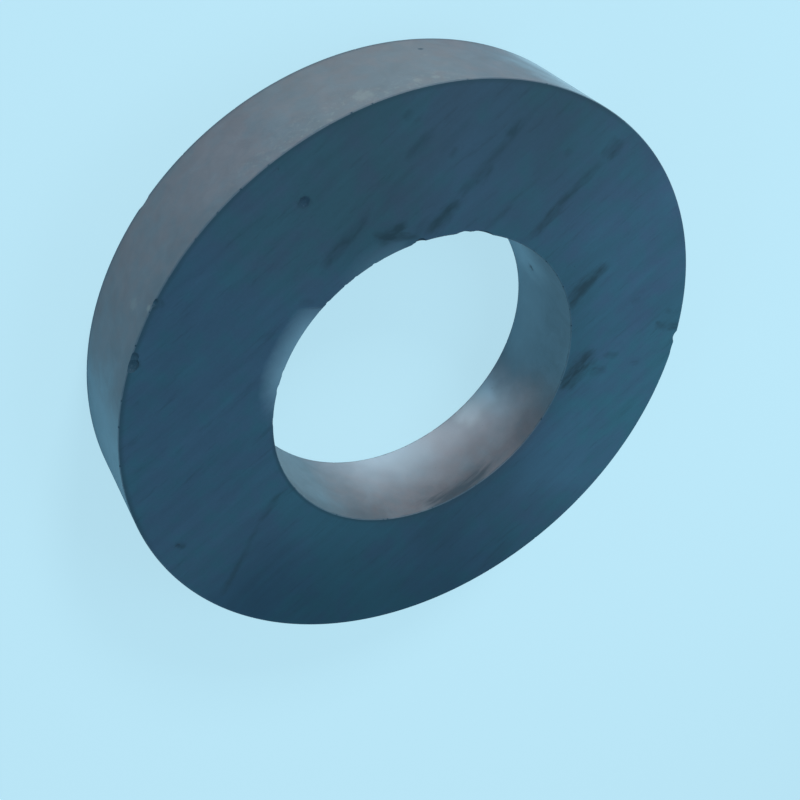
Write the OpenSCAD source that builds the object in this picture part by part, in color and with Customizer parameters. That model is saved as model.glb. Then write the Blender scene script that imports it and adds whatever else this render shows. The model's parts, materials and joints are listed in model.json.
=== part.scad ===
// Ring magnet: a flat ring of hard ferrite, pressed and fired in one piece.
// Its two faces are ground flat. The rim and the bore are left as fired, and so are a few
// low spots beside the bore that the grinding wheel missed.
// The ring lies on its back face at z = 0, centred on the Z axis, front face up.
// Angles run anticlockwise from +X, seen from above. All lengths are in millimetres.

/* [Ring] */
// Outside diameter of the rim
outer_d = 60; // [50:1:90]
// Diameter of the bore
bore_d = 32; // [20:1:40]
// Thickness between the ground faces
thickness = 10; // [5:0.5:20]
// Width of the bevel where a ground face meets the rim or the bore
edge_break = 0.06; // [0.02:0.02:0.4]

/* [Low spots beside the bore] */
// How far the widest low spot reaches across the face
spot_reach = 2; // [0.5:0.1:4]
// How far the deepest low spot lowers the bore's front edge
spot_drop = 0.12; // [0.05:0.01:0.5]

/* [Chips in the bore's front edge] */
// How far the notch reaches across the face
notch_reach = 0.45; // [0.2:0.05:1.5]
// How far the notch reaches down the bore wall
notch_drop = 0.8; // [0.2:0.05:1.5]

/* [Chips in the rim's edges] */
// How far the widest chip in the front edge reaches across the face
rim_chip_reach = 0.95; // [0.1:0.05:2]
// How far the deepest chip in the front edge reaches down the rim
rim_chip_drop = 0.4; // [0.1:0.05:2]
// How far the chip in the back edge reaches across the back face
back_chip_reach = 0.3; // [0.1:0.05:1]
// How far the chip in the back edge reaches up the rim
back_chip_drop = 0.22; // [0.1:0.02:1]

/* [Pits in the front face] */
// Diameter of the large round pit
pit_d = 1; // [0.3:0.1:2]
// Depth of a pit, as a share of its diameter
pit_depth_share = 0.12; // [0.05:0.01:0.4]

/* [Hidden] */

outer_r = outer_d / 2;
bore_r = bore_d / 2;

// Facets round the ring, round a bite and round a pit
ring_fn = 180;
bite_fn = 96;
pit_fn = 48;

// Bites out of an edge: [angle of the middle, degrees of edge, share of the reach, share of the drop].
// A low spot also has the angles between which the wheel missed it.
low_spots = [
    [251.5, 16, 0.9, 0.35, 243, 260],
    [291, 72, 1, 0.75, 278, 328],
    [317, 36, 0.35, 0.6, 299, 335]
];
bore_chips = [
    [219.5, 10.5, 0.8, 0.8],
    [224.8, 9, 0.65, 0.65],
    [241.6, 3.6, 1, 1],
    [242.3, 5.6, 0.45, 0.5]
];
rim_chips = [
    [140.3, 2.8, 0.4, 1],
    [293.3, 1.6, 0.35, 0.4],
    [304.3, 2.6, 1, 0.5]
];
back_chip = [285, 3.4, 1, 1];

// Pits: [angle, share of the way from the bore to the rim, share of the pit diameter].
face_pits = [
    [265, 0.66, 1],
    [347, 0.84, 0.5]
];

// Section of the ring: a rectangle with a small bevel on each corner.
module ring_section() {
    polygon([
        [bore_r + edge_break, 0],
        [outer_r - edge_break, 0],
        [outer_r, edge_break],
        [outer_r, thickness - edge_break],
        [outer_r - edge_break, thickness],
        [bore_r + edge_break, thickness],
        [bore_r, thickness - edge_break],
        [bore_r, edge_break]
    ]);
}

// Shell-shaped bite out of a round edge at the top of a wall. It is cut by the ball that passes
// through both ends of the bite, its furthest point on the face and its lowest point on the wall.
// out is 1 at the rim, where the solid ends outwards, and -1 at the bore. end_in is how much further
// into the solid the ends of the bite lie than its middle, because the edge is round.
module edge_bite(bite, edge_r, out, reach, drop) {
    half_len = edge_r * sin(bite[1] / 2);
    end_in = out * edge_r * (1 - cos(bite[1] / 2));
    on_face = bite[2] * reach;
    on_wall = bite[3] * drop;
    ball_out = (half_len * half_len + end_in * end_in - on_face * on_face) / (2 * (on_face - end_in));
    ball_up = (half_len * half_len + end_in * end_in + 2 * end_in * ball_out - on_wall * on_wall) / (2 * on_wall);
    rotate([0, 0, bite[0]])
        translate([edge_r + out * ball_out, 0, ball_up])
            sphere(r = norm([ball_out + end_in, ball_up, half_len]), $fn = bite_fn);
}

// Shallow low spot beside the bore. It starts and ends with a small step where a bite this wide
// would run on past its angles.
module low_spot(spot) {
    intersection() {
        edge_bite(spot, bore_r, -1, spot_reach, spot_drop);
        rotate([0, 0, spot[4]])
            rotate_extrude(angle = spot[5] - spot[4], $fn = ring_fn)
                translate([bore_r - spot_reach, -2 * spot_drop])
                    square([3 * spot_reach, 4 * spot_drop]);
    }
}

// Shallow round pit in a face at z = 0.
module face_pit(pit) {
    half_d = pit_d * pit[2] / 2;
    depth = pit_d * pit[2] * pit_depth_share;
    ball_r = (half_d * half_d + depth * depth) / (2 * depth);
    rotate([0, 0, pit[0]])
        translate([bore_r + pit[1] * (outer_r - bore_r), 0, ball_r - depth])
            sphere(r = ball_r, $fn = pit_fn);
}

// What is missing from the front face and its edges, with the face at z = 0.
module front_damage() {
    for (spot = low_spots)
        low_spot(spot);
    for (bite = bore_chips)
        edge_bite(bite, bore_r, -1, notch_reach, notch_drop);
    for (bite = rim_chips)
        edge_bite(bite, outer_r, 1, rim_chip_reach, rim_chip_drop);
    for (pit = face_pits)
        face_pit(pit);
}

// What is missing from the back rim edge, with the back face at z = 0.
module back_damage() {
    mirror([0, 0, 1])
        edge_bite(back_chip, outer_r, 1, back_chip_reach, back_chip_drop);
}

module ring_magnet() {
    color([0.27, 0.36, 0.43])
        difference() {
            rotate_extrude($fn = ring_fn)
                ring_section();
            translate([0, 0, thickness])
                front_damage();
            back_damage();
        }
}

ring_magnet();
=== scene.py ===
import json
import math
from functools import reduce
import bmesh
import bpy
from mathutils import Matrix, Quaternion, Vector


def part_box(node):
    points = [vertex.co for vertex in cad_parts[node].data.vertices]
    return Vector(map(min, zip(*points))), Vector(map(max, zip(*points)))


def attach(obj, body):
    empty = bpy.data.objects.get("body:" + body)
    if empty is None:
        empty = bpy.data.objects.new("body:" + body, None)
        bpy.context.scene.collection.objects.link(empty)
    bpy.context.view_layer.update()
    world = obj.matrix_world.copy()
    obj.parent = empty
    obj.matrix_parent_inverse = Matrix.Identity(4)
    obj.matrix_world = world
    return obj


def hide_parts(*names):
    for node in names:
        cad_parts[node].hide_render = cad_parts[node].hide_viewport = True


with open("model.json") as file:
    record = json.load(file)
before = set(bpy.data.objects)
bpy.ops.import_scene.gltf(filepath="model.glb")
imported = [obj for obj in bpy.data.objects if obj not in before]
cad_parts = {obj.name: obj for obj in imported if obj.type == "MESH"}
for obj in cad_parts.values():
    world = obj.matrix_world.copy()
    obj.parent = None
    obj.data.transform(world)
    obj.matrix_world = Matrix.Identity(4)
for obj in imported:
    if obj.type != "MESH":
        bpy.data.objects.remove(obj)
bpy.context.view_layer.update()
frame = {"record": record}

mm = 0.001
scene = bpy.context.scene
scene.view_settings.view_transform = "Standard"
print("frame loaded")


# ---- helpers for node trees

def feed(socket, value):  # a plain value is set; a socket, a node's first output or a list of them is linked
    for each in value if isinstance(value, list) else [value]:
        if isinstance(each, bpy.types.Node):
            each = each.outputs[0]
        if isinstance(each, bpy.types.NodeSocket):
            socket.id_data.links.new(each, socket)
        else:
            socket.default_value = each


def addNode(tree, kind, inputs=None, **settings):
    node = tree.nodes.new(kind)
    for name, value in settings.items():
        setattr(node, name, value)
    for name, value in (inputs or {}).items():
        feed(node.inputs[name], value)
    return node


def treeOf(*values):  # the tree of the first value that is a node or a socket
    kinds = (bpy.types.Node, bpy.types.NodeSocket)
    return next(value.id_data for value in values if isinstance(value, kinds))


def calc(operation, *values):
    return addNode(treeOf(*values), "ShaderNodeMath", dict(enumerate(values)), operation=operation)


def plus(*values):
    return reduce(lambda first, second: calc("ADD", first, second), values)


def times(*values):
    return reduce(lambda first, second: calc("MULTIPLY", first, second), values)


def minus(first, second):
    return calc("SUBTRACT", first, second)


def over(first, second):
    return calc("DIVIDE", first, second)


def most(first, second):
    return calc("MAXIMUM", first, second)


def makeTree(name, kind, inputs, outputs):  # an input is given by its usual value, or by the name of its type
    tree = bpy.data.node_groups.new(name, kind)
    for label, value in inputs.items():
        word = value if isinstance(value, str) else "Int" if isinstance(value, int) else "Float"
        socket = tree.interface.new_socket(label, in_out="INPUT", socket_type="NodeSocket" + word)
        if word != value:
            socket.default_value = value
    for label, word in outputs.items():
        tree.interface.new_socket(label, in_out="OUTPUT", socket_type="NodeSocket" + word)
    return tree, tree.nodes.new("NodeGroupInput").outputs, tree.nodes.new("NodeGroupOutput").inputs


# ---- the ring: a bevelled rectangle swept round the bore, with bites taken out of its edges

ringLow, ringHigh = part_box("ring_magnet")
boreMount = next(mount for mount in frame["record"]["mounts"] if mount["name"] == "bore")

ringSizes = {
    "outerRadius": (ringHigh[0] - ringLow[0]) / 2,
    "boreRadius": boreMount["dims"]["r_mm"] * mm,
    "thickness": ringHigh[2] - ringLow[2],
    "edgeBreak": 0.06 * mm,
    "segments": 480,
    "nickCount": 60,  # tiny nicks round each edge
    "nickSize": 0.12 * mm,
    "nickShift": 0.05,  # how far a nick may lie from its even place, in radians
    "smallestNick": 0.25,  # share of the nick size
    "nickTurn": 6.2,  # how far a nick may turn about each axis, in radians
    "breakRoughness": 0.03 * mm,
    "breakGrain": 0.35 * mm,
    "spotRoughness": 0.008 * mm,
    "spotGrain": 1.2 * mm,
    "sharpFrom": 28,  # degrees between two faces from which their edge is sharp
    "seed": 7,
}

# bites out of the edges: middle angle and length in degrees of edge, reach on the face, drop down the wall
lowSpots = [
    {"at": 251.5, "span": 16, "reach": 1.8, "drop": 0.042},
    {"at": 291, "span": 72, "reach": 2, "drop": 0.09, "startsAt": 278, "lean": 40},
    {"at": 317, "span": 36, "reach": 0.7, "drop": 0.072},
]
boreChips = [
    {"at": 219.5, "span": 10.5, "reach": 0.36, "drop": 0.64},
    {"at": 224.8, "span": 9, "reach": 0.29, "drop": 0.52},
    {"at": 241.6, "span": 3.6, "reach": 0.45, "drop": 0.8},
    {"at": 242.3, "span": 5.6, "reach": 0.2, "drop": 0.4},
]
boreNicks = [
    {"at": 258, "span": 1.6, "reach": 0.11, "drop": 0.2},
    {"at": 265, "span": 1.8, "reach": 0.1, "drop": 0.2},
    {"at": 269, "span": 1.4, "reach": 0.1, "drop": 0.2},
    {"at": 276.5, "span": 1.8, "reach": 0.12, "drop": 0.25},
    {"at": 303.5, "span": 3.2, "reach": 0.1, "drop": 0.16},
    {"at": 309.5, "span": 4, "reach": 0.12, "drop": 0.2},
    {"at": 322, "span": 5, "reach": 0.1, "drop": 0.15},
]
rimChips = [
    {"at": 138.3, "span": 5.2, "reach": 0.15, "drop": 0.2},
    {"at": 140.5, "span": 3, "reach": 0.36, "drop": 0.4},
    {"at": 293.3, "span": 1.6, "reach": 0.33, "drop": 0.16},
    {"at": 303.1, "span": 1.8, "reach": 0.66, "drop": 0.1},
    {"at": 304.5, "span": 2.4, "reach": 0.93, "drop": 0.15},
]
backChips = [
    {"at": 285, "span": 3.4, "reach": 0.3, "drop": 0.22},
]
facePits = [
    {"at": 265, "out": 25.3, "width": 1, "depth": 0.07},
    {"at": 347, "out": 27.8, "width": 0.5, "depth": 0.04},
]

capShare = 0.8  # how much of a ball's faces go to the cap that bites
capRoom = 1.4  # how much wider a cap is than its bite
pitCapRoom = 2
widestCap = 2.2  # half the angle that a cap may cover, in radians
levelFrom = 0.99  # a face is level from this height of its normal


def makeBiteTree():  # a ball whose faces crowd towards the place where it bites
    tree, given, out = makeTree("bite", "GeometryNodeTree", {
        "Angle": 0.0, "Edge Radius": 0.01, "Outward": 1.0, "Facing": 1.0, "Face Height": 0.0,
        "Ball Out": 0.001, "Ball Up": 0.001, "Ball Radius": 0.001, "Cap Angle": 1.0, "Detail": 5,
        "Roughness": 0.0, "Grain Size": 0.001, "Material": "Material"}, {"Ball": "Geometry"})
    ball = addNode(tree, "GeometryNodeMeshIcoSphere", {"Radius": 1.0, "Subdivisions": given["Detail"]})
    parts = addNode(tree, "ShaderNodeSeparateXYZ", {0: addNode(tree, "GeometryNodeInputPosition")}).outputs
    polar = calc("ARCCOSINE", times(parts[2], -0.99999))  # 0 at the lowest point, and never out of range
    turn = calc("ARCTAN2", parts[1], parts[0])
    share = over(polar, capShare * math.pi)
    capPolar = times(calc("MINIMUM", share, 1.0), given["Cap Angle"])
    closing = addNode(tree, "ShaderNodeMapRange", {
        "Value": share, "From Min": 1.0, "From Max": 1 / capShare, "To Min": 1.0, "To Max": 0.0})
    radius = times(closing, given["Ball Radius"])
    flat = times(radius, calc("SINE", capPolar))
    spot = addNode(tree, "ShaderNodeCombineXYZ", {
        0: times(flat, calc("COSINE", turn)), 1: times(flat, calc("SINE", turn)),
        2: times(radius, calc("COSINE", capPolar), -1.0)})
    cap = addNode(tree, "GeometryNodeSetPosition", {"Geometry": ball, "Position": spot})
    # lean the cap so that its middle looks from the ball's centre towards the edge
    lean = addNode(tree, "ShaderNodeCombineXYZ", {1: calc("ARCTAN2", given["Ball Out"], given["Ball Up"])})
    lift = addNode(tree, "ShaderNodeCombineXYZ", {0: given["Ball Out"], 2: given["Ball Up"]})
    leaned = addNode(tree, "GeometryNodeTransform", {"Geometry": cap, "Rotation": lean, "Translation": lift})
    # outward and facing decide which edge it stands at
    mirror = addNode(tree, "ShaderNodeCombineXYZ", {0: given["Outward"], 1: 1.0, 2: given["Facing"]})
    atEdge = addNode(tree, "ShaderNodeCombineXYZ", {0: given["Edge Radius"], 2: given["Face Height"]})
    mirrored = addNode(tree, "GeometryNodeTransform",
                       {"Geometry": leaned, "Scale": mirror, "Translation": atEdge})
    around = addNode(tree, "ShaderNodeCombineXYZ", {2: given["Angle"]})
    turned = addNode(tree, "GeometryNodeTransform", {"Geometry": mirrored, "Rotation": around})
    # a mirrored ball is inside out, so its faces are turned back
    inside = calc("LESS_THAN", times(given["Outward"], given["Facing"]), 0.0)
    righted = addNode(tree, "GeometryNodeFlipFaces", {"Mesh": turned, "Selection": inside})
    grain = addNode(tree, "ShaderNodeTexNoise", {
        "Vector": addNode(tree, "GeometryNodeInputPosition"), "Scale": over(1.0, given["Grain Size"]),
        "Detail": 4.0, "Roughness": 0.6})
    push = times(minus(grain, 0.5), given["Roughness"], 2.0)
    offset = addNode(tree, "ShaderNodeVectorMath", {
        0: addNode(tree, "GeometryNodeInputNormal"), "Scale": push}, operation="SCALE")
    rough = addNode(tree, "GeometryNodeSetPosition", {"Geometry": righted, "Offset": offset})
    feed(out["Ball"], addNode(tree, "GeometryNodeSetMaterial",
                              {"Geometry": rough, "Material": given["Material"]}))
    return tree


def biteBall(bite, edgeRadius, outward):  # where its centre lies from the edge, its radius, half the bite
    halfSpan = math.radians(bite["span"] / 2)
    halfLength = edgeRadius * math.sin(halfSpan)
    endIn = outward * edgeRadius * (1 - math.cos(halfSpan))  # how much further in its two ends lie
    reach, drop = bite["reach"] * mm, bite["drop"] * mm
    ballOut = (halfLength ** 2 + endIn ** 2 - reach ** 2) / (2 * (reach - endIn))
    ballUp = (halfLength ** 2 + endIn ** 2 + 2 * endIn * ballOut - drop ** 2) / (2 * drop)
    return ballOut, ballUp, math.hypot(ballOut + endIn, ballUp, halfLength), halfLength


def addBite(tree, biteTree, bite, edgeRadius, outward, facing, finish):
    ballOut, ballUp, ballRadius, halfLength = biteBall(bite, edgeRadius, outward)
    height = ringSizes["thickness"] if facing > 0 else 0.0
    ball = addNode(tree, "GeometryNodeGroup", {
        "Angle": math.radians(bite["at"]), "Edge Radius": edgeRadius, "Outward": outward, "Facing": facing,
        "Face Height": height, "Ball Out": ballOut, "Ball Up": ballUp, "Ball Radius": ballRadius,
        "Cap Angle": min(widestCap, capRoom * halfLength / ballRadius)} | finish, node_tree=biteTree)
    if "startsAt" not in bite:
        return ball
    # a block takes off what lies before the step where the bite starts
    turn = math.radians(bite["startsAt"])
    side = turn + math.radians(bite["lean"])
    block = addNode(tree, "GeometryNodeMeshCube", {"Size": (edgeRadius, edgeRadius, 2 * mm)})
    beside = Vector((math.cos(turn) + math.sin(side) / 2, math.sin(turn) - math.cos(side) / 2)) * edgeRadius
    placed = addNode(tree, "GeometryNodeTransform", {
        "Geometry": block, "Rotation": (0, 0, side), "Translation": (beside.x, beside.y, height)})
    return addNode(tree, "GeometryNodeMeshBoolean", {"Mesh 1": ball, "Mesh 2": placed},
                   operation="DIFFERENCE", solver="EXACT")


def addPit(tree, biteTree, pit, finish):
    halfWidth, depth = pit["width"] / 2 * mm, pit["depth"] * mm
    ballRadius = (halfWidth ** 2 + depth ** 2) / (2 * depth)
    return addNode(tree, "GeometryNodeGroup", {
        "Angle": math.radians(pit["at"]), "Edge Radius": pit["out"] * mm, "Outward": 1.0, "Facing": 1.0,
        "Face Height": ringSizes["thickness"], "Ball Out": 0.0, "Ball Up": ballRadius - depth,
        "Ball Radius": ballRadius, "Cap Angle": min(widestCap, pitCapRoom * halfWidth / ballRadius)} | finish,
        node_tree=biteTree)


def addNicks(tree, given, edgeRadius, height, index):  # tiny nicks round one edge, with its own seeds
    circle = addNode(tree, "GeometryNodeMeshCircle", {"Vertices": given["Nicks"], "Radius": edgeRadius})
    seed = plus(given["Seed"], float(index))
    shift, turns = ringSizes["nickShift"], (ringSizes["nickTurn"],) * 3
    jitter = addNode(tree, "FunctionNodeRandomValue", {"Seed": seed, 2: -shift, 3: shift}, data_type="FLOAT")
    turned = addNode(tree, "ShaderNodeVectorRotate", {
        "Vector": addNode(tree, "GeometryNodeInputPosition"), "Angle": jitter.outputs[1]},
        rotation_type="Z_AXIS")
    moved = addNode(tree, "GeometryNodeSetPosition", {
        "Geometry": circle, "Position": turned, "Offset": addNode(tree, "ShaderNodeCombineXYZ", {2: height})})
    size = addNode(tree, "FunctionNodeRandomValue", {
        "Seed": plus(seed, 11.0), 2: ringSizes["smallestNick"], 3: 1.0}, data_type="FLOAT")
    turn = addNode(tree, "FunctionNodeRandomValue", {
        "Seed": plus(seed, 23.0), 0: (0, 0, 0), 1: turns}, data_type="FLOAT_VECTOR")
    ball = addNode(tree, "GeometryNodeMeshIcoSphere", {"Radius": given["Nick Size"], "Subdivisions": 2})
    nick = addNode(tree, "GeometryNodeSetMaterial", {"Geometry": ball, "Material": given["Broken"]})
    placed = addNode(tree, "GeometryNodeInstanceOnPoints", {
        "Points": moved, "Instance": nick, "Rotation": turn, "Scale": size.outputs[1]})
    return addNode(tree, "GeometryNodeRealizeInstances", {"Geometry": placed})


def makeRingTree():
    tree, given, out = makeTree("ringMagnet", "GeometryNodeTree", {
        "Outer Radius": 0.03, "Bore Radius": 0.016, "Thickness": 0.01, "Edge Break": 0.0001,
        "Segments": 480, "Nicks": 60, "Nick Size": 0.0001, "Break Roughness": 0.00003, "Seed": 0,
        "Ground": "Material", "Fired": "Material", "Broken": "Material"}, {"Geometry": "Geometry"})
    section = addNode(tree, "GeometryNodeCurvePrimitiveQuadrilateral", {
        "Width": minus(given["Outer Radius"], given["Bore Radius"]), "Height": given["Thickness"]})
    bevelled = addNode(tree, "GeometryNodeFilletCurve",
                       {"Curve": section, "Count": 1, "Radius": given["Edge Break"]}, mode="POLY")
    middle = over(plus(given["Outer Radius"], given["Bore Radius"]), 2.0)
    path = addNode(tree, "GeometryNodeCurvePrimitiveCircle",
                   {"Resolution": given["Segments"], "Radius": middle})
    upright = addNode(tree, "GeometryNodeSetCurveNormal", {"Curve": path}, mode="Z_UP")
    swept = addNode(tree, "GeometryNodeCurveToMesh",
                    {"Curve": upright, "Profile Curve": bevelled, "Fill Caps": False})
    lift = addNode(tree, "ShaderNodeCombineXYZ", {2: over(given["Thickness"], 2.0)})
    blank = addNode(tree, "GeometryNodeTransform", {"Geometry": swept, "Translation": lift})
    fired = addNode(tree, "GeometryNodeSetMaterial", {"Geometry": blank, "Material": given["Fired"]})
    # the two level faces have been ground
    normal = addNode(tree, "ShaderNodeSeparateXYZ", {0: addNode(tree, "GeometryNodeInputNormal")}).outputs
    level = calc("GREATER_THAN", calc("ABSOLUTE", normal[2]), levelFrom)
    ground = addNode(tree, "GeometryNodeSetMaterial",
                     {"Geometry": fired, "Selection": level, "Material": given["Ground"]})

    biteTree = makeBiteTree()
    spotFinish = {"Material": given["Ground"], "Roughness": ringSizes["spotRoughness"],
                  "Grain Size": ringSizes["spotGrain"], "Detail": 5}
    chipFinish = {"Material": given["Broken"], "Roughness": given["Break Roughness"],
                  "Grain Size": ringSizes["breakGrain"], "Detail": 4}
    nickFinish = chipFinish | {"Detail": 3}
    cuts = []
    for bites, radius, outward, facing, finish in (  # facing is -1 at the back
            (lowSpots, "boreRadius", -1.0, 1.0, spotFinish), (boreChips, "boreRadius", -1.0, 1.0, chipFinish),
            (boreNicks, "boreRadius", -1.0, 1.0, nickFinish), (rimChips, "outerRadius", 1.0, 1.0, chipFinish),
            (backChips, "outerRadius", 1.0, -1.0, chipFinish)):
        cuts += [addBite(tree, biteTree, bite, ringSizes[radius], outward, facing, finish) for bite in bites]
    cuts += [addPit(tree, biteTree, pit, chipFinish) for pit in facePits]
    edges = [(given[radius], height) for height in (given["Thickness"], 0.0)
             for radius in ("Outer Radius", "Bore Radius")]
    cuts += [addNicks(tree, given, radius, height, index) for index, (radius, height) in enumerate(edges)]
    bitten = addNode(tree, "GeometryNodeMeshBoolean", {"Mesh 1": ground, "Mesh 2": cuts},
                     operation="DIFFERENCE", solver="EXACT")
    smooth = addNode(tree, "GeometryNodeSetShadeSmooth", {"Geometry": bitten})
    real = addNode(tree, "GeometryNodeRealizeInstances", {"Geometry": smooth})
    broken = addNode(tree, "GeometryNodeMaterialSelection", {"Material": given["Broken"]})
    feed(out["Geometry"], addNode(tree, "GeometryNodeSetMaterial", {
        "Geometry": real, "Selection": broken, "Material": given["Broken"]}))
    return tree


def markEdges(mesh):  # sharp at corners and round the level faces, smooth elsewhere
    shape = bmesh.new()
    shape.from_mesh(mesh)
    for edge in shape.edges:
        kinds = {(face.material_index, abs(face.normal.z) > 0.99999) for face in edge.link_faces}
        edge.smooth = len(kinds) == 1 and edge.calc_face_angle(math.pi) < math.radians(ringSizes["sharpFrom"])
    shape.to_mesh(mesh)
    shape.free()


def makeRing(materials):
    ring = bpy.data.objects.new("ringMagnet", bpy.data.meshes.new("ringMagnet"))
    scene.collection.objects.link(ring)
    modifier = ring.modifiers.new("ringMagnet", "NODES")
    modifier.node_group = makeRingTree()
    given = {"Outer Radius": "outerRadius", "Bore Radius": "boreRadius", "Thickness": "thickness",
             "Edge Break": "edgeBreak", "Segments": "segments", "Nicks": "nickCount", "Nick Size": "nickSize",
             "Break Roughness": "breakRoughness", "Seed": "seed"}
    for item in modifier.node_group.interface.items_tree:
        if item.in_out == "INPUT" and item.name in given:
            modifier[item.identifier] = ringSizes[given[item.name]]
        elif item.in_out == "INPUT" and item.name in materials:
            modifier[item.identifier] = materials[item.name]
    shaped = ring.evaluated_get(bpy.context.evaluated_depsgraph_get())
    mesh = bpy.data.meshes.new_from_object(shaped)
    ring.modifiers.remove(modifier)
    ring.data = mesh
    markEdges(mesh)
    return ring


# ---- shader groups: each is built once and placed in the materials with its own values

def noise(position, size, detail=2.0, roughness=0.5, distortion=0.0):
    scale = over(1.0, size) if isinstance(size, bpy.types.NodeSocket) else 1 / size
    return addNode(treeOf(position), "ShaderNodeTexNoise", {
        "Vector": position, "Scale": scale, "Detail": detail, "Roughness": roughness,
        "Distortion": distortion})


def ramp(value, low, high, atLow=0.0, atHigh=1.0):
    return addNode(treeOf(value), "ShaderNodeMapRange", dict(enumerate([value, low, high, atLow, atHigh])),
                   interpolation_type="SMOOTHSTEP")


def makeRingPlace():  # where a point lies on the ring, in millimetres and degrees
    tree, given, out = makeTree("ringPlace", "ShaderNodeTree", {"Object": "Vector"}, {
        "Position": "Vector", "Radius": "Float", "Angle": "Float", "Height": "Float"})
    scaled = addNode(tree, "ShaderNodeVectorMath", {0: given["Object"], "Scale": 1 / mm}, operation="SCALE")
    parts = addNode(tree, "ShaderNodeSeparateXYZ", {0: scaled}).outputs
    turn = times(calc("ARCTAN2", parts[1], parts[0]), 180 / math.pi)
    feed(out["Position"], scaled)
    feed(out["Radius"], calc("SQRT", plus(times(parts[0], parts[0]), times(parts[1], parts[1]))))
    feed(out["Angle"], calc("FLOORED_MODULO", turn, 360.0))
    feed(out["Height"], parts[2])
    return tree


def makeGrain():  # fine grain and broad mottle: a shade around 1, and a height
    tree, given, out = makeTree("ferriteGrain", "ShaderNodeTree", {
        "Position": "Vector", "Grain Size": 0.2, "Grain Depth": 0.1, "Mottle Size": 5.0, "Mottle Depth": 0.1},
        {"Shade": "Float", "Height": "Float"})
    fine = noise(given["Position"], given["Grain Size"], 3.0, 0.65)
    broad = noise(given["Position"], given["Mottle Size"], 4.0, 0.55, 0.6)
    both = plus(times(minus(fine, 0.5), given["Grain Depth"]),
                times(minus(broad, 0.5), given["Mottle Depth"]))
    feed(out["Shade"], plus(times(both, 2.0), 1.0))
    feed(out["Height"], fine)
    return tree


def makeCornerWear():  # a broken line of wear along one round edge
    tree, given, out = makeTree("cornerWear", "ShaderNodeTree", {
        "Position": "Vector", "Radius": 0.0, "Height": 0.0, "Edge Radius": 30.0, "Edge Height": 10.0,
        "Width": 0.3, "Patch Size": 2.0}, {"Mask": "Float"})
    across = minus(given["Radius"], given["Edge Radius"])
    up = minus(given["Height"], given["Edge Height"])
    away = calc("SQRT", plus(times(across, across), times(up, up)))
    patchy = noise(given["Position"], given["Patch Size"], 4.0, 0.65)
    reach = times(given["Width"], ramp(patchy, 0.3, 0.7, 0.6, 1.4))
    feed(out["Mask"], ramp(over(away, reach), 1.0, 0.2))
    return tree


def makePores():  # scattered small dark pores
    tree, given, out = makeTree("pores", "ShaderNodeTree", {
        "Position": "Vector", "Spacing": 1.5, "Width": 0.2, "Share": 0.3}, {"Mask": "Float"})
    cells = addNode(tree, "ShaderNodeTexVoronoi", {
        "Vector": given["Position"], "Scale": over(1.0, given["Spacing"])}).outputs
    draw = addNode(tree, "ShaderNodeSeparateColor", {0: cells["Color"]}).outputs
    kept = calc("LESS_THAN", draw[0], given["Share"])
    radius = times(over(given["Width"], times(given["Spacing"], 2.0)), plus(times(draw[1], 0.8), 0.4))
    feed(out["Mask"], times(ramp(over(cells["Distance"], radius), 1.0, 0.4), kept))
    return tree


def makeSmear():  # one soft smear or blot, lying level: long along its turn, with a ragged, broken outline
    tree, given, out = makeTree("smear", "ShaderNodeTree", {
        "Position": "Vector", "Centre": "Vector", "Grain Origin": "Vector", "Turn": 0.0, "Length": 5.0,
        "Width": 1.0, "Taper": 0.0, "Raggedness": 0.5, "Breaks": 0.5}, {"Mask": "Float"})
    moved = addNode(tree, "ShaderNodeVectorMath", {0: given["Position"], 1: given["Centre"]},
                    operation="SUBTRACT")
    turned = addNode(tree, "ShaderNodeVectorRotate", {
        "Vector": moved, "Angle": times(given["Turn"], -math.pi / 180)}, rotation_type="Z_AXIS")
    parts = addNode(tree, "ShaderNodeSeparateXYZ", {0: turned}).outputs
    # the outline's grain is drawn out along the smear
    lean = addNode(tree, "ShaderNodeCombineXYZ", {2: times(given["Turn"], math.pi / 180)})
    drawn = addNode(tree, "ShaderNodeMapping", {
        "Vector": given["Position"], "Location": given["Grain Origin"], "Rotation": lean,
        "Scale": (1 / 0.55, 1 / 1.5, 1.0)}, vector_type="TEXTURE")
    ragged = minus(noise(drawn, 0.8, 3.0, 0.65), 0.5)
    along = over(parts[0], times(given["Length"], 0.5))
    widening = plus(times(along, given["Taper"]), 1.0)
    across = over(parts[1], times(given["Width"], 0.5, most(widening, 0.15)))
    away = calc("SQRT", plus(calc("POWER", calc("ABSOLUTE", along), 4.0), times(across, across)))
    rough = plus(away, times(ragged, given["Raggedness"]))
    torn = ramp(noise(drawn, 1.3, 2.0, 0.6), 0.4, 0.62)
    whole = minus(1.0, times(torn, given["Breaks"]))
    feed(out["Mask"], times(ramp(rough, 1.15, 0.1), whole))
    return tree


def makeArcWindow():  # 1 between two angles, falling to 0 at two more; angles may run past a full turn
    tree, given, out = makeTree("arcWindow", "ShaderNodeTree", {
        "Angle": 0.0, "Start": 0.0, "Full From": 10.0, "Full To": 20.0, "End": 30.0}, {"Mask": "Float"})
    turn = calc("FLOORED_MODULO", minus(given["Angle"], given["Start"]), 360.0)
    rise = ramp(turn, 0.0, minus(given["Full From"], given["Start"]))
    fall = ramp(turn, minus(given["End"], given["Start"]), minus(given["Full To"], given["Start"]))
    feed(out["Mask"], times(rise, fall))
    return tree


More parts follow.
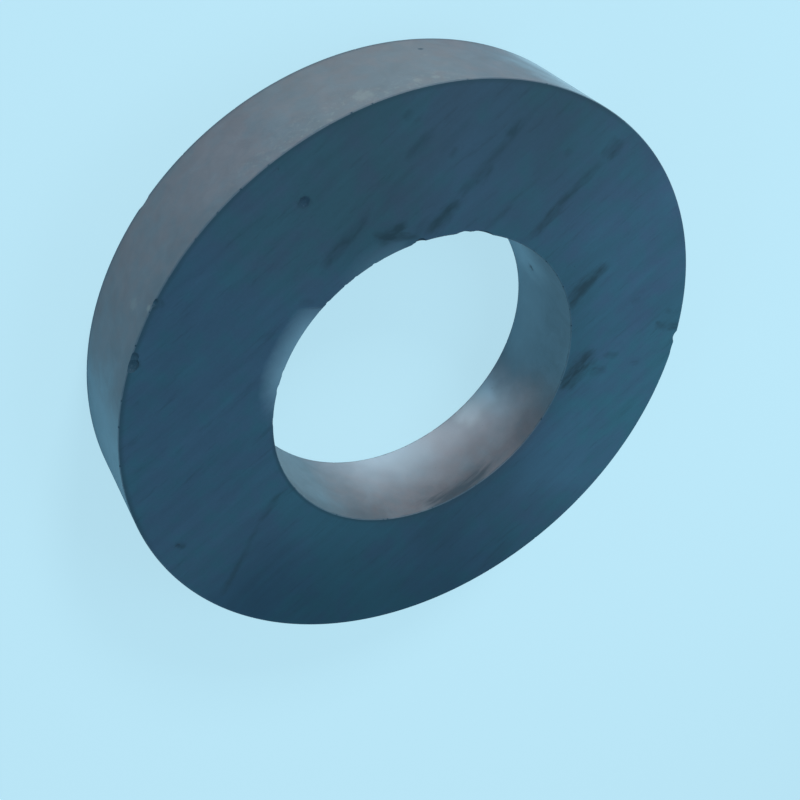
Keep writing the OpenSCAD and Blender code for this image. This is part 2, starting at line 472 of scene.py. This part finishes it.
def makeLowSpotTone():  # how far a point lies inside a low spot: 1 at the bore's edge, 0 at its outline
    tree, given, out = makeTree("lowSpotTone", "ShaderNodeTree", {
        "Position": "Vector", "Radius": 0.0, "Angle": 0.0, "Bore Radius": 16.0, "Start": 280.0,
        "Widest From": 284.0, "Widest To": 304.0, "End": 334.0, "Reach": 2.0, "Step": 0.0, "Step Lean": 0.0},
        {"Mask": "Float"})
    ragged = minus(noise(given["Position"], 1.1, 4.0, 0.6), 0.5)
    turn = plus(given["Angle"], times(ragged, 3.0))
    rise = ramp(turn, given["Start"], given["Widest From"])
    fall = ramp(turn, given["End"], given["Widest To"])
    reach = times(plus(times(fall, 0.5), 0.5), given["Reach"])
    beside = minus(given["Radius"], given["Bore Radius"])
    inward = plus(beside, times(ragged, 0.5))
    near = minus(1.0, over(most(inward, 0.0), reach))
    # nothing before the step, which leans: its angle grows with the distance from the bore
    past = minus(minus(given["Angle"], given["Step"]), times(beside, given["Step Lean"]))
    feed(out["Mask"], times(rise, fall, most(near, 0.0), ramp(past, -0.3, 0.7)))
    return tree


groups = {"ringPlace": makeRingPlace(), "grain": makeGrain(), "cornerWear": makeCornerWear(),
          "pores": makePores(), "smear": makeSmear(), "arcWindow": makeArcWindow(),
          "lowSpotTone": makeLowSpotTone()}


# ---- helpers for materials

# the ring's sizes in millimetres
outer, bore, thickness = (ringSizes[name] / mm for name in ("outerRadius", "boreRadius", "thickness"))


def place(name, **values):  # a group in the tree of its values; its inputs are written in camelCase
    node = addNode(treeOf(*values.values()), "ShaderNodeGroup", node_tree=groups[name])
    for each, value in values.items():
        label = "".join(" " + letter if letter.isupper() else letter for letter in each)
        feed(node.inputs[label[0].upper() + label[1:]], value)
    return node.outputs


def arcWindow(angle, start, fullFrom, fullTo, end):
    return place("arcWindow", angle=angle, start=start, fullFrom=fullFrom, fullTo=fullTo, end=end)["Mask"]


def mix(factor, first, second, blend="MIX"):
    return addNode(treeOf(factor, first, second), "ShaderNodeMix", {0: factor, 6: first, 7: second},
                   data_type="RGBA", blend_type=blend).outputs[2]


def tinted(factor, color, tint):  # a colour times a tint, where the factor is 1
    return mix(factor, color, mix(1.0, color, tint, "MULTIPLY"))


def shade(color, value):  # a colour times a value
    return mix(1.0, color, addNode(treeOf(value), "ShaderNodeCombineColor", {0: value, 1: value, 2: value}),
               "MULTIPLY")


def ringPoint(at, out, up):
    return out * math.cos(math.radians(at)), out * math.sin(math.radians(at)), up


def distance(position, point):
    return addNode(treeOf(position), "ShaderNodeVectorMath", {0: position, 1: point},
                   operation="DISTANCE").outputs["Value"]


def startMaterial(name):
    material = bpy.data.materials.new(name)
    material.use_nodes = True
    spot = place("ringPlace", object=addNode(material.node_tree, "ShaderNodeTexCoord").outputs["Object"])
    return material, spot


def finishMaterial(material, look, color, roughness, height):
    shader = material.node_tree.nodes["Principled BSDF"]
    feed(shader.inputs["Base Color"], color)
    feed(shader.inputs["Roughness"], roughness)
    feed(shader.inputs["Specular IOR Level"], look["specular"])
    feed(shader.inputs["Normal"], addNode(material.node_tree, "ShaderNodeBump", {
        "Height": height, "Strength": 1.0, "Distance": look["bumpDepth"]}))
    return material


# ---- the ground faces

groundLook = {
    "tealColor": (0.0165, 0.0660, 0.1030, 1),
    "violetColor": (0.0208, 0.0590, 0.1030, 1),
    "tintRange": (0.3, 0.7),  # between which values of the noise one colour goes over into the other
    "broadTint": 13.0,  # size of the tinted patches, in millimetres
    "fineTint": 2.4,
    "cloudDrift": 30.0,  # how far the broad patches shift the clouds' ends, in degrees
    "streakColor": (0.0095, 0.0330, 0.0510, 1),
    "wearColor": (0.045, 0.11, 0.165, 1),
    "wearStrength": 0.2,
    "poreColor": (0.010, 0.030, 0.045, 1),
    "poreStrength": 0.6,
    "lineColor": (0.010, 0.036, 0.055, 1),  # along the edges
    "lineStrength": 0.6,
    "lowSpotAndHighlightColor": (0.092, 0.188, 0.260, 1),
    "layTurn": 8,  # degrees from +X
    "layStretch": (0.13, 0.95, 1),
    "layDepth": 0.16,
    "faintSize": 0.6,  # of the faint streaks between the listed ones
    "faintRange": (0.56, 0.72),
    "layRoughness": 0.16,
    "streakRoughness": 0.15,
    "roughness": 0.5,
    "bumpDepth": 0.004 * mm,
    "specular": 0.15,
    "grain": {"grainSize": 0.18, "grainDepth": 0.10, "mottleSize": 9.0, "mottleDepth": 0.16},
    "pores": {"spacing": 2.6, "width": 0.28, "share": 0.2},
    "wear": {"width": 0.2, "patchSize": 1.8},
    "streak": {"raggedness": 1.1, "breaks": 0.55},
}

# broad clouds of tone, painted shade and painted reflection: between which angles, growing from which radius
# to which, and how they tint the colour
faceTonesAndPaintedLight = [
    # painted shade: these two darken the face at 10–110°
    {"arc": (-10, 22, 62, 101), "inner": 9, "outer": 30, "tint": (0.38, 0.64, 0.67, 1)},
    {"arc": (48, 66, 92, 112), "inner": 25, "outer": 16, "tint": (0.75, 0.88, 0.84, 1)},
    # painted reflection: these two lighten the face at 90–195°
    {"arc": (88, 108, 130, 150), "inner": 15, "outer": 22, "tint": (1.17, 1.31, 1.25, 1)},
    {"arc": (130, 150, 175, 195), "inner": 15, "outer": 22, "tint": (1.25, 1.17, 1.20, 1)},
    {"arc": (192, 212, 250, 275), "inner": 12, "outer": 20, "tint": (0.93, 0.92, 0.90, 1)},
    {"arc": (196, 208, 228, 240), "inner": 20, "outer": 30, "tint": (0.85, 0.90, 0.88, 1)},
    {"arc": (232, 248, 275, 292), "inner": 14, "outer": 22, "tint": (1.04, 0.91, 0.88, 1)},
    {"arc": (20, 55, 100, 138), "inner": bore + 1.5, "outer": bore, "tint": (1.03, 0.83, 0.82, 1)},
]

# the light tone of the low spots, partly their own unground finish and partly a painted highlight that grows
# towards the bore's edge: angles in degrees, reach in millimetres
lowSpotTones = [
    {"start": 273, "widestFrom": 289, "widestTo": 303, "end": 324, "reach": 2.2, "step": 278, "stepLean": 2.3,
     "strength": 1.0},
    {"start": 243, "widestFrom": 250, "widestTo": 258, "end": 274, "reach": 2.0, "step": 243, "stepLean": 0,
     "strength": 0.24},
]

# dark lines along the face's edges, growing from one radius to another
edgeLines = [
    {"arc": (190, 205, 335, 350), "inner": 29.4, "outer": 29.9},
    {"arc": (-45, -25, 50, 70), "inner": 16.5, "outer": 16.1},
]

# soft dark streaks left by the grinding: from, to and width in millimetres, strength, how much wider
# it is at the end than in the middle, as a share
streaks = [
    ((-23.0, -16.8), (-9.6, -14.5), 0.9, 0.5, 0.4),
    ((-12.9, -14.9), (-8.4, -14.2), 1.4, 0.95, 0.2),
    ((-16.6, -15.6), (-14.2, -15.1), 1.2, 0.75, 0.1),
    ((-21.0, -16.8), (-18.8, -16.4), 1.2, 0.75, 0.1),
    ((-27.6, -7.5), (-25.3, -7.1), 1.4, 0.9, 0.0),
    ((-25.4, -7.1), (-19.0, -6.5), 0.85, 0.8, 0.0),
    ((-21.4, -6.8), (-15.9, -5.7), 0.95, 1.0, 0.4),
    ((-20.8, 3.5), (-15.6, 3.9), 1.5, 0.9, 0.2),
    ((-18.7, 3.6), (-14.8, 4.4), 1.4, 0.95, 0.2),
    ((-15.2, 12.0), (-10.9, 12.6), 2.4, 0.95, 0.1),
    ((-13.4, 12.3), (-9.9, 13.2), 2.0, 1.4, 0.1),
    ((-15.0, 15.6), (-13.4, 14.1), 0.9, 0.6, 0.2),
    ((-16.9, 15.1), (-15.5, 13.4), 0.8, 0.35, 0.0),
    ((-18.5, 18.2), (-17.4, 17.2), 0.8, 0.4, 0.0),
    ((-21.9, 10.7), (-20.8, 10.2), 0.7, 0.4, 0.0),
    ((-11.2, -20.7), (-6.4, -19.8), 0.9, 0.2, 0.3),
    ((-5.8, -20.1), (0.4, -19.0), 1.1, 0.9, 0.2),
    ((-14.2, -22.0), (-10.8, -21.6), 1.0, 0.6, 0.1),
    ((17.2, -2.7), (20.6, -1.5), 0.7, 0.6, 0.0),
    ((20.4, -1.5), (24.4, 0.4), 0.6, 0.4, 0.0),
    ((23.6, 0.2), (28.6, 2.6), 0.7, 0.6, 0.2),
    ((26.7, -5.5), (27.2, -6.6), 0.7, 0.6, 0.0),
    ((-17.1, -20.4), (-13.4, -20.0), 0.8, 0.25, 0.2),
    ((-14.8, -19.2), (-13.8, -18.8), 0.6, 0.35, 0.0),
    ((-16.0, -10.3), (-12.8, -10.4), 0.7, 0.4, 0.0),
    ((-23.2, -10.7), (-22.4, -10.3), 0.7, 0.5, 0.0),
    ((-24.1, 18.2), (-22.8, 16.8), 1.0, 0.7, 0.2),
    ((-22.9, 17.1), (-21.9, 15.2), 0.8, 0.8, 0.0),
    ((-24.0, 15.6), (-23.6, 14.6), 0.6, 0.3, 0.0),
    ((-13.5, -24.9), (-12.5, -24.7), 0.7, 0.5, 0.0),
    ((-2.8, -25.2), (-1.6, -25.2), 0.9, 0.9, 0.0),
    ((16.2, -24.1), (17.2, -24.8), 0.9, 0.7, 0.0),
    ((11.6, -27.7), (12.2, -26.9), 1.0, 0.8, 0.0),
]

# dark blots on and round the low spots, in the same way
spotSmears = [
    ((-7.8, -14.6), (-4.8, -17.9), 0.8, 1.5, 0.5),
    ((-7.6, -16.7), (-4.7, -17.3), 1.3, 1.1, 0.1),
    ((-10.0, -15.4), (-7.0, -15.3), 0.9, 0.4, 0.2),
    ((2.6, -17.0), (3.6, -18.1), 0.6, 0.4, 0.0),
]


def smearMask(position, mark):
    start, end, width, strength, taper = mark
    along = Vector(end) - Vector(start)
    middle = ((Vector(start) + Vector(end)) / 2).to_3d()
    turn = math.atan2(along.y, along.x)
    mask = place("smear", position=position, centre=(middle.x, middle.y, thickness),
                 grainOrigin=middle - Quaternion((0, 0, 1), turn) @ middle, turn=math.degrees(turn),
                 length=along.length * 1.1, width=width * 1.5, taper=taper, **groundLook["streak"])["Mask"]
    return times(mask, strength)


def lowSpotMask(spot, strength, **shape):
    mask = place("lowSpotTone", position=spot["Position"], radius=spot["Radius"], angle=spot["Angle"],
                 boreRadius=bore, **shape)["Mask"]
    return times(mask, strength)


def groundColor(spot, shadeValue):  # the colour with its clouds of tone, painted shade and painted reflection, before any mark
    look = groundLook
    fine = minus(noise(spot["Position"], look["fineTint"], 3.0, 0.6), 0.5)
    broad = minus(noise(spot["Position"], look["broadTint"], 2.0, 0.5), 0.5)
    color = mix(ramp(plus(fine, broad, 0.5), *look["tintRange"]), look["tealColor"], look["violetColor"])
    turn = plus(spot["Angle"], times(broad, look["cloudDrift"]))
    # the clouds paint shade and reflection onto the face as well as tone
    for cloud in faceTonesAndPaintedLight:
        mask = times(arcWindow(turn, *cloud["arc"]), ramp(spot["Radius"], cloud["inner"], cloud["outer"]))
        color = tinted(mask, color, cloud["tint"])
    return shade(color, shadeValue)


def makeGround():
    material, spot = startMaterial("groundFerrite")
    look = groundLook
    position = spot["Position"]
    grain = place("grain", position=position, **look["grain"])
    # the lay of the grinding wheel: noise drawn out along one direction
    drawn = addNode(material.node_tree, "ShaderNodeMapping", {
        "Vector": position, "Rotation": (0, 0, math.radians(-look["layTurn"])), "Scale": look["layStretch"]})
    lay = noise(drawn, 1.0, 4.0, 0.55, 0.4)
    faint = ramp(noise(drawn, look["faintSize"], 4.0, 0.7), *look["faintRange"])
    layShade = plus(times(minus(lay, 0.5), 2 * look["layDepth"]), 1.0)
    layShade = minus(layShade, times(faint, look["layDepth"]))
    color = groundColor(spot, times(grain["Shade"], layShade))
    streak = reduce(most, (smearMask(position, mark) for mark in streaks + spotSmears))
    # the low spots' light tone: partly their unground finish, partly a painted highlight towards the bore's
    # edge
    lowSpot = reduce(most, (lowSpotMask(spot, **tone) for tone in lowSpotTones))
    color = mix(lowSpot, color, look["lowSpotAndHighlightColor"])
    color = mix(streak, color, look["streakColor"])
    pores = place("pores", position=position, **look["pores"])["Mask"]
    color = mix(times(pores, look["poreStrength"]), color, look["poreColor"])
    wear = reduce(most, (place("cornerWear", position=position, radius=spot["Radius"], height=spot["Height"],
                               edgeRadius=edge, edgeHeight=thickness, **look["wear"])["Mask"]
                         for edge in (outer, bore)))
    color = mix(times(wear, look["wearStrength"]), color, look["wearColor"])
    line = reduce(most, (times(ramp(spot["Radius"], each["inner"], each["outer"]),
                               arcWindow(spot["Angle"], *each["arc"])) for each in edgeLines))
    color = mix(times(line, look["lineStrength"]), color, look["lineColor"])
    roughness = plus(times(streak, look["streakRoughness"]), times(lay, look["layRoughness"]),
                     look["roughness"] - look["layRoughness"] / 2)
    height = minus(plus(lay, times(grain["Height"], 0.6)), times(pores, 2.0))
    return finishMaterial(material, look, color, roughness, height)


# ---- the fired walls

firedLook = {
    "color": (0.114, 0.134, 0.158, 1),
    "warmColor": (0.134, 0.130, 0.147, 1),
    "blotchRange": (0.38, 0.62),
    "broadBlotch": 9.0,  # size in millimetres
    "fineBlotch": 1.6,
    # painted blue light, where the walls face the blue fill and surroundings
    "paintedBlueLightColor": (0.100, 0.178, 0.225, 1),
    "rubColor": (0.22, 0.24, 0.235, 1),
    # painted light: paler towards the bore's back edge
    "paintedBackLightColor": (0.36, 0.42, 0.48, 1),
    # painted highlight low on the bore wall
    "paintedFootHighlightColor": (0.54, 0.66, 0.73, 1),
    # painted pale blue light
    "paintedPaleBlueLightColor": (0.225, 0.37, 0.45, 1),
    # painted highlight on the rim
    "paintedEdgeHighlightColor": (0.23, 0.33, 0.39, 1),
    "brownTint": (0.98, 0.88, 0.86, 1),
    "darkColor": (0.030, 0.050, 0.068, 1),
    "lineColor": (0.016, 0.060, 0.098, 1),  # along the edges, and painted contact shade at the rim's back edge
    "lineStrength": 0.6,
    "backLine": (0.55, 0.1),  # painted contact shade: between which heights the dark line at the rim's back edge, where it sits on the floor, grows
    "paintedContactShadeStrength": 0.45,
    "drift": 14.0,  # how far the tones' ends wander, in degrees
    "driftSize": 3.0,  # size of the wandering, in millimetres
    "fray": 2.5,  # how far the frayed tones' heights wander, in millimetres
    "fraySize": 4.0,
    "poreStrength": 0.5,
    "scratchStrength": 0.75,
    "roughness": 0.62,
    "bumpDepth": 0.012 * mm,
    "specular": 0.3,
    "grain": {"grainSize": 0.22, "grainDepth": 0.12, "mottleSize": 1.8, "mottleDepth": 0.20},
    "pores": {"spacing": 1.7, "width": 0.22, "share": 0.16},
    "wear": {"width": 0.2, "patchSize": 1.2},
}

# tones and painted light of the walls, mixed in one after the other. Each is the sum of its patches: on which
# wall, between which angles, at which heights a patch starts and is full, how strong it is, and whether
# clouds fray it
# painted blue light: a bluish tint on the parts of both walls that face the blue fill and surroundings
paintedBlueLightTones = {
    "paintedBlueLightColor": [
        {"wall": "bore", "arc": (108, 134, 185, 215), "strength": 1.0},
        {"wall": "bore", "arc": (-50, -20, 12, 36), "strength": 0.8},
        {"wall": "rim", "arc": (296, 324, 334, 380), "strength": 1.0},
        {"wall": "rim", "arc": (185, 195, 208, 228), "strength": 0.35},
    ],
}
wallTones = {
    "paintedBackLightColor": [  # painted light: the bore is paler towards its back edge, on the side away from the low spots, as if lit through the back opening
        {"wall": "bore", "arc": (14, 62, 106, 126), "heights": (9.0, -0.6), "strength": 1.0, "frayed": True},
        {"wall": "bore", "arc": (86, 96, 104, 116), "heights": (9.0, -0.6), "strength": 0.3, "frayed": True},
    ],
    # painted highlight: a pale glow low on the bore wall at 86–112°
    "paintedFootHighlightColor": [
        {"wall": "bore", "arc": (86, 96, 102, 112), "heights": (3.8, 0.6), "strength": 0.95, "frayed": True},
    ],
    # painted light: the bore's bluish side grows paler towards its back edge, and the rim a little at
    # 308–340°
    "paintedPaleBlueLightColor": [
        {"wall": "bore", "arc": (110, 130, 185, 200), "heights": (7.5, -1.0), "strength": 0.66,
         "frayed": True},
        {"wall": "bore", "arc": (158, 172, 185, 200), "heights": (9.0, 1.5), "strength": 0.66},
        {"wall": "rim", "arc": (308, 318, 326, 340), "strength": 0.12},
    ],
    # painted highlight on the rim at 184–218°
    "paintedEdgeHighlightColor": [
        {"wall": "rim", "arc": (184, 196, 205, 218), "strength": 0.92},
    ],
    "brownTint": [
        {"wall": "bore", "arc": (66, 78, 96, 106), "heights": (7.5, 4.5), "strength": 1.0},
    ],
    "darkColor": [  # both walls are darker towards the front edge in places
        {"wall": "bore", "arc": (-20, -5, 30, 44), "heights": (6.6, 9.8), "strength": 0.35, "frayed": True},
        {"wall": "bore", "arc": (96, 106, 120, 130), "heights": (6.6, 9.8), "strength": 0.3, "frayed": True},
        {"wall": "bore", "arc": (56, 70, 76, 88), "heights": (6.6, 9.8), "strength": 0.4, "frayed": True},
        {"wall": "rim", "arc": (262, 288, 308, 322), "heights": (-12.0, 9.9), "strength": 0.2},
        {"wall": "rim", "arc": (262, 288, 308, 322), "heights": (7.0, 9.9), "strength": 0.1},
    ],
}
# rubbed patches on the rim: pale specks along its front edge, and a faint bloom
rubbedSpecks = {"arc": (226, 238, 258, 284), "heights": (5.5, 9.0), "size": 0.45, "range": (0.52, 0.68),
                "strength": 0.3}
rubbedBloom = {"wall": "rim", "arc": (222, 234, 252, 268), "strength": 0.14}
# dark scratches in the bore below the front edge: noise drawn out along them, cut off below its range
scratches = {"arc": (48, 62, 82, 98), "heights": (6.6, 9.2), "stretch": 0.05, "spacing": 1.3, "slope": 0.07,
             "lift": 0.3, "range": (0.62, 0.9)}

# pale rubbed marks and dark dots on the walls: angle in degrees, height and width in millimetres
paleMarks = [
    {"at": 248, "up": 8.3, "width": 2.6, "strength": 0.5},
    {"at": 239, "up": 8.6, "width": 1.3, "strength": 0.5},
    {"at": 236, "up": 8.7, "width": 1.0, "strength": 0.5},
    {"at": 233, "up": 4.0, "width": 0.7, "strength": 0.3},
    {"at": 297, "up": 7.0, "width": 1.4, "strength": 0.3},
    {"at": 294.8, "up": 9.6, "width": 0.7, "strength": 0.6},
]
darkDots = [
    {"at": 232.3, "up": 2.5, "width": 0.6, "strength": 1.0, "wall": "rim"},
    {"at": 167.7, "up": 3.5, "width": 0.9, "strength": 0.9, "wall": "bore"},
]

markGrain = 0.45  # size of the grain that frays a mark's outline, in millimetres
markRaggedness = 2.2


def wallMark(position, mark, radius):
    away = distance(position, ringPoint(mark["at"], radius, mark["up"]))
    ragged = times(minus(noise(position, markGrain, 4.0, 0.7), 0.5), markRaggedness)
    rough = plus(over(away, mark["width"] / 2), ragged)
    return times(ramp(rough, 1.1, 0.2), mark["strength"])


def patchMask(patch, turn, height, frayed, walls):
    mask = times(arcWindow(turn, *patch["arc"]), walls[patch["wall"]], patch["strength"])
    if "heights" not in patch:
        return mask
    return times(mask, ramp(frayed if "frayed" in patch else height, *patch["heights"]))


def addTones(tones, color, *where):
    for name, patches in tones.items():
        mask = reduce(plus, (patchMask(patch, *where) for patch in patches))
        color = (tinted if name.endswith("Tint") else mix)(mask, color, firedLook[name])
    return color


def makeFired():
    material, spot = startMaterial("firedFerrite")
    look = firedLook
    position, angle, height = spot["Position"], spot["Angle"], spot["Height"]
    grain = place("grain", position=position, **look["grain"])
    blotch = plus(times(noise(position, look["fineBlotch"], 3.0, 0.6), 0.6),
                  times(noise(position, look["broadBlotch"], 2.0), 0.4))
    color = mix(ramp(blotch, *look["blotchRange"]), look["color"], look["warmColor"])
    inBore = calc("LESS_THAN", spot["Radius"], (outer + bore) / 2)
    walls = {"bore": inBore, "rim": minus(1.0, inBore)}
    turn = plus(angle, times(minus(noise(position, look["driftSize"], 3.0), 0.5), look["drift"]))
    frayed = plus(height, times(minus(noise(position, look["fraySize"], 2.0), 0.5), look["fray"]))
    # painted blue light is mixed in before the grain
    color = shade(addTones(paintedBlueLightTones, color, turn, height, frayed, walls), grain["Shade"])
    band = times(ramp(height, *rubbedSpecks["heights"]), arcWindow(angle, *rubbedSpecks["arc"]))
    specks = ramp(noise(position, rubbedSpecks["size"], 3.0, 0.7), *rubbedSpecks["range"])
    rub = times(band, specks, rubbedSpecks["strength"])
    rub = plus(rub, patchMask(rubbedBloom, turn, height, frayed, walls))
    for mark in paleMarks:
        rub = most(rub, wallMark(position, mark, outer))
    color = mix(rub, color, look["rubColor"])
    # painted light and painted highlights on the walls, with a brown tint and darker places by the front edge
    color = addTones(wallTones, color, turn, height, frayed, walls)
    drawn = addNode(material.node_tree, "ShaderNodeCombineXYZ", {
        0: times(angle, scratches["stretch"]),
        1: plus(times(height, scratches["spacing"]), times(angle, scratches["slope"]))})
    window = times(arcWindow(angle, *scratches["arc"]), ramp(height, *scratches["heights"]))
    lifted = plus(noise(drawn, 1.0, 3.0, 0.55), times(window, scratches["lift"]))
    scratch = ramp(lifted, *scratches["range"])
    dark = times(scratch, window, inBore, look["scratchStrength"])
    for mark in darkDots:
        dark = most(dark, wallMark(position, mark, bore if mark["wall"] == "bore" else outer))
    pores = place("pores", position=position, **look["pores"])["Mask"]
    color = mix(most(dark, times(pores, look["poreStrength"])), color, look["darkColor"])
    # a dark line where a wall meets the ground faces
    wear = reduce(most, (place("cornerWear", position=position, radius=spot["Radius"], height=height,
                               edgeRadius=edge, edgeHeight=level, **look["wear"])["Mask"]
                         for edge in (outer, bore) for level in (0.0, thickness)))
    # painted contact shade: the rim darkens towards its back edge, where it sits on the floor
    backLine = times(ramp(height, *look["backLine"]), walls["rim"], look["paintedContactShadeStrength"])
    color = mix(most(times(wear, look["lineStrength"]), backLine), color, look["lineColor"])
    roughness = plus(times(grain["Height"], 0.2), look["roughness"] - 0.1)
    bumps = minus(plus(grain["Height"], noise(position, 1.6, 2.0)), times(pores, 2.0))
    return finishMaterial(material, look, color, roughness, bumps)


# ---- the broken places

brokenLook = {
    "color": (0.0108, 0.0405, 0.0680, 1),
    "sparkColor": (0.06, 0.10, 0.13, 1),
    "sparkStrength": 0.2,
    "sparkRange": (0.86, 0.95),
    "facetsPerMm": 9.0,
    "dirtTint": (0.72, 0.84, 0.90, 1),  # painted shade at the bottom of the pits
    "pitShadeReach": (0.6, 0.35),  # where it ends and where it is full, as shares of a pit's width
    "poreStrength": 0.5,
    "roughness": 0.6,
    "sparkRoughness": -0.25,
    "bumpDepth": 0.02 * mm,
    "specular": 0.2,
    "grain": {"grainSize": 0.12, "grainDepth": 0.25, "mottleSize": 0.8, "mottleDepth": 0.3},
    "pores": {"spacing": 0.5, "width": 0.16, "share": 0.3},
}


def makeBroken():
    material, spot = startMaterial("brokenFerrite")
    look = brokenLook
    position = spot["Position"]
    grain = place("grain", position=position, **look["grain"])
    facets = addNode(material.node_tree, "ShaderNodeTexVoronoi",
                     {"Vector": position, "Scale": look["facetsPerMm"]}).outputs
    draw = addNode(material.node_tree, "ShaderNodeSeparateColor", {0: facets["Color"]})
    sparks = ramp(draw, *look["sparkRange"])
    color = shade(look["color"], grain["Shade"])
    color = mix(times(sparks, look["sparkStrength"]), color, look["sparkColor"])
    # painted shade: each pit darkens towards its bottom
    for pit in facePits:
        away = distance(position, ringPoint(pit["at"], pit["out"], thickness))
        ends = [pit["width"] * share for share in look["pitShadeReach"]]
        color = tinted(ramp(away, *ends), color, look["dirtTint"])
    pores = place("pores", position=position, **look["pores"])["Mask"]
    color = shade(color, minus(1.0, times(pores, look["poreStrength"])))
    roughness = plus(times(sparks, look["sparkRoughness"]), look["roughness"])
    return finishMaterial(material, look, color, roughness, plus(facets["Distance"], grain["Height"]))


materials = {"Ground": makeGround(), "Fired": makeFired(), "Broken": makeBroken()}
print("materials made")

ring = makeRing(materials)
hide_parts("ring_magnet")
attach(ring, "root")
print("ring made:", len(ring.data.polygons), "faces")


# ---- floor, light and camera

stageLook = {
    "floorColor": (0.50, 0.79, 0.92, 1),
    "floorGlow": 0.84,  # share of the floor's colour that the camera sees without light
    "floorSize": 1.6,
    "worldColor": (0.72, 0.90, 1.0, 1),
    "worldStrength": 0.52,
    "key": {"color": (1.0, 0.96, 0.92), "power": 7.9, "turn": 220, "rise": 27, "away": 1.0, "size": 0.22},
    "fill": {"color": (0.55, 0.85, 1.0), "power": 2.4, "turn": 338, "rise": 22, "away": 1.0, "size": 0.4},
    "side": {"color": (0.80, 0.94, 1.0), "power": 0.12, "turn": 150, "rise": 55, "away": 0.2, "size": 0.1},
}

cameraPlace = {
    "place": (0.11 * mm, -77.82 * mm, 85.97 * mm),
    "aim": (2.97 * mm, -1.32 * mm, 10 * mm),
    "roll": 140.03,
    "lens": 51.36,
}


def makeFloor():
    material = bpy.data.materials.new("paleFloor")
    material.use_nodes = True
    tree = material.node_tree
    shader = tree.nodes["Principled BSDF"]
    feed(shader.inputs["Base Color"], stageLook["floorColor"])
    feed(shader.inputs["Roughness"], 0.9)
    feed(shader.inputs["Specular IOR Level"], 0.0)
    glow = addNode(tree, "ShaderNodeEmission", {"Color": stageLook["floorColor"]})
    seen = addNode(tree, "ShaderNodeLightPath").outputs["Is Camera Ray"]
    blend = addNode(tree, "ShaderNodeMixShader", {0: times(seen, stageLook["floorGlow"]), 1: shader, 2: glow})
    feed(tree.nodes["Material Output"].inputs["Surface"], blend)
    half = stageLook["floorSize"] / 2
    mesh = bpy.data.meshes.new("floor")
    corners = [(-half, -half, 0), (half, -half, 0), (half, half, 0), (-half, half, 0)]
    mesh.from_pydata(corners, [], [(0, 1, 2, 3)])
    mesh.materials.append(material)
    floor = bpy.data.objects.new("floor", mesh)
    scene.collection.objects.link(floor)


def makeWorld():
    world = bpy.data.worlds.new("softWorld")
    scene.world = world
    world.use_nodes = True
    tree = world.node_tree
    back = tree.nodes["Background"]
    feed(back.inputs["Color"], stageLook["worldColor"])
    feed(back.inputs["Strength"], stageLook["worldStrength"])
    plain = addNode(tree, "ShaderNodeBackground", {"Color": stageLook["floorColor"], "Strength": 1.0})
    seen = addNode(tree, "ShaderNodeLightPath").outputs["Is Camera Ray"]
    blend = addNode(tree, "ShaderNodeMixShader", {0: seen, 1: back, 2: plain})
    feed(tree.nodes["World Output"].inputs["Surface"], blend)


def makeLamp(name):
    look = stageLook[name]
    lamp = bpy.data.lights.new(name + "Light", "AREA")
    lamp.energy = look["power"]
    lamp.color = look["color"]
    lamp.size = look["size"]
    turn, rise = math.radians(look["turn"]), math.radians(look["rise"])
    toLamp = Vector((math.cos(turn) * math.cos(rise), math.sin(turn) * math.cos(rise), math.sin(rise)))
    holder = bpy.data.objects.new(name + "Light", lamp)
    scene.collection.objects.link(holder)
    holder.location = toLamp * look["away"]
    holder.rotation_euler = (-toLamp).to_track_quat("-Z", "Y").to_euler()


def makeCamera():
    lens = bpy.data.cameras.new("camera")
    lens.lens = cameraPlace["lens"]
    lens.sensor_width = 36
    lens.clip_start = 0.001
    camera = bpy.data.objects.new("camera", lens)
    scene.collection.objects.link(camera)
    camera.location = Vector(cameraPlace["place"])
    look = (Vector(cameraPlace["aim"]) - camera.location).to_track_quat("-Z", "Y")
    camera.rotation_euler = (look @ Quaternion((0, 0, 1), math.radians(cameraPlace["roll"]))).to_euler()
    bpy.context.scene.camera = camera


makeFloor()
makeWorld()
for name in ("key", "fill", "side"):
    makeLamp(name)
makeCamera()
print("stage made")
